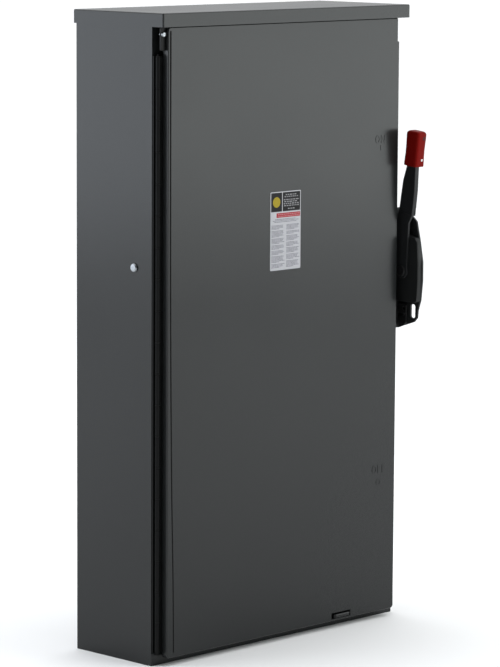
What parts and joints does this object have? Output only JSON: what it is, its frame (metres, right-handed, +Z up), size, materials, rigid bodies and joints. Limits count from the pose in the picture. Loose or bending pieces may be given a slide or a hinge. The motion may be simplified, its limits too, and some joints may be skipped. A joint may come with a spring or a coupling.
{
  "type": "disconnect switch box",
  "caption": "Tall wall-mounted outdoor fusible disconnect box: grey sheet-metal case, rain roof, hinged door, red-gripped side lever working knife blades and fuses inside.",
  "frame": {"origin": "centre of the four wall-mounting holes, on the wall plane", "axes": "+Z up, +Y into the wall, so the door faces -Y and its hinge is on the -X side"},
  "size_m": [0.7261, 0.2922, 1.277],
  "materials": {
    "enclosure_paint": "semi-gloss grey enamel",
    "hinge_paint": "dark enamel",
    "blackened_steel": "black oxide",
    "zinc_steel": "bright zinc plate",
    "spring_steel": "oiled steel",
    "black_steel": "satin black",
    "black_moulding": "satin black",
    "red_moulding": "semi-gloss red",
    "gasket_foam": "matt black",
    "label_film": "printed film",
    "copper_plate": "tin plated copper",
    "lug_aluminium": "tin plated aluminium",
    "bush_bronze": "plain bronze",
    "insulator": "red-brown moulded polyester",
    "arc_fibre": "dark fibre",
    "clear_sheet": "clear polycarbonate",
    "fuse_paper": "wound glass tube"
  },
  "bodies": {
    "enclosure": {"back_panel": "enclosure_paint", "left_side_panel": "enclosure_paint", "right_side_panel": "enclosure_paint", "top_endwall": "enclosure_paint", "bottom_endwall": "enclosure_paint", "knockout_discs": "enclosure_paint", "rain_roof": "enclosure_paint", "mounting_feet": "enclosure_paint", "bonding_bolt": "zinc_steel", "bonding_nut": "zinc_steel", "ground_bar": "lug_aluminium", "ground_lugs": "lug_aluminium", "ground_lug_screws": "zinc_steel", "hasp_tab": "enclosure_paint", "hinge_body_leaf": "hinge_paint", "hinge_pin": "hinge_paint", "handle_base": "black_moulding", "handle_cover": "black_moulding", "handle_base_screws": "blackened_steel", "shaft_bush": "bush_bronze", "mechanism_frame": "zinc_steel", "drive_springs": "spring_steel", "mounting_pan": "zinc_steel", "pan_standoffs": "zinc_steel", "line_base": "insulator", "blade_base": "insulator", "fuse_bases": "insulator", "phase_barriers": "insulator", "line_shield": "clear_sheet", "line_jaws": "copper_plate", "arc_chutes": "arc_fibre", "cable_lugs": "lug_aluminium", "cable_lug_screws": "zinc_steel", "blade_hinges": "copper_plate", "bearing_brackets": "zinc_steel", "fuse_clips": "copper_plate", "fuse_tubes": "fuse_paper", "fuse_ends": "copper_plate"},
    "door": {"door_panel": "enclosure_paint", "door_gasket": "gasket_foam", "door_stiffener": "enclosure_paint", "door_label": "label_film", "hinge_door_leaf": "hinge_paint", "hinge_top_bracket": "hinge_paint", "hinge_bracket_screw": "zinc_steel", "interlock_hook": "zinc_steel"},
    "handle": {"handle_lever": "black_steel", "handle_grip": "red_moulding", "grip_screws": "zinc_steel", "pivot_shaft": "blackened_steel"},
    "link": {"drive_link": "zinc_steel"},
    "shaft": {"operating_shaft": "zinc_steel", "drive_cam": "zinc_steel"},
    "switch": {"crossbar": "insulator", "blade_clamps": "insulator", "crossbar_arms": "zinc_steel", "switch_blades": "copper_plate", "blade_pins": "zinc_steel"},
    "lockout": {"lockout_slide": "blackened_steel"}
  },
  "joints": [
    {"name": "door_hinge", "type": "hinge", "parent": "enclosure", "child": "door", "pos_m": [-0.342, -0.226, 0], "axis": [0, 0, -1], "range_deg": [0, 105]},
    {"name": "handle_pivot", "type": "hinge", "parent": "enclosure", "child": "handle", "pos_m": [0.349, -0.243, 0.088], "axis": [1, 0, 0], "range_deg": [0, 160]},
    {"name": "link_pivot", "type": "hinge", "parent": "handle", "child": "link", "pos_m": [0.3594, -0.243, 0.106], "axis": [1, 0, 0], "range_deg": [-160, 0]},
    {"name": "shaft_turn", "type": "hinge", "parent": "enclosure", "child": "shaft", "pos_m": [0.31, -0.19, 0.088], "axis": [1, 0, 0], "range_deg": [0, 160]},
    {"name": "blade_turn", "type": "hinge", "parent": "enclosure", "child": "switch", "pos_m": [-0.032, -0.084, 0.15], "axis": [1, 0, 0], "range_deg": [0, 70]},
    {"name": "lockout_travel", "type": "slide", "parent": "enclosure", "child": "lockout", "axis": [0, -1, 0], "range_m": [0, 0.014]}
  ],
  "couplings": [
    {"joint": "link_pivot", "follows": "handle_pivot", "ratio": -1},
    {"joint": "shaft_turn", "follows": "handle_pivot", "ratio": 1},
    {"joint": "blade_turn", "follows": "handle_pivot", "ratio": 0.4375}
  ]
}
